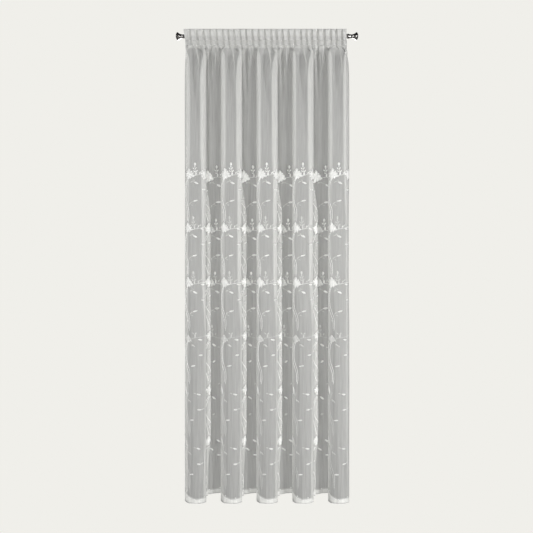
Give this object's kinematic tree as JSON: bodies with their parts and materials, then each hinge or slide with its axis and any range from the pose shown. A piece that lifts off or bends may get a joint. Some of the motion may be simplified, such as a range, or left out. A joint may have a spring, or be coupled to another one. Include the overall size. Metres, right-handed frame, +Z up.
{
  "type": "sheer voile curtain on a curtain rod",
  "caption": "Sheer voile curtain in deep soft folds with an embroidered leaf-sprig lower part, gathered on a heading tape over a round metal rod with trumpet finials.",
  "frame": {"origin": "middle of the rod, on its centre line, where the brackets hold it up", "axes": "+X along the rod to the viewer's right, -Y to the front of the curtain, +Z up; the cloth hangs towards -Z"},
  "size_m": [0.9794, 0.1146, 2.515],
  "materials": {
    "voile": "sheer white voile with white leaf-sprig embroidery",
    "tape": "woven white gathering tape",
    "rod_steel": "satin metal",
    "finial_metal": "polished dark chrome"
  },
  "bodies": {
    "root": {"curtain_panel": "voile", "heading_tape": "tape", "rod": "rod_steel", "finial_left": "finial_metal", "finial_right": "finial_metal"}
  },
  "joints": []
}
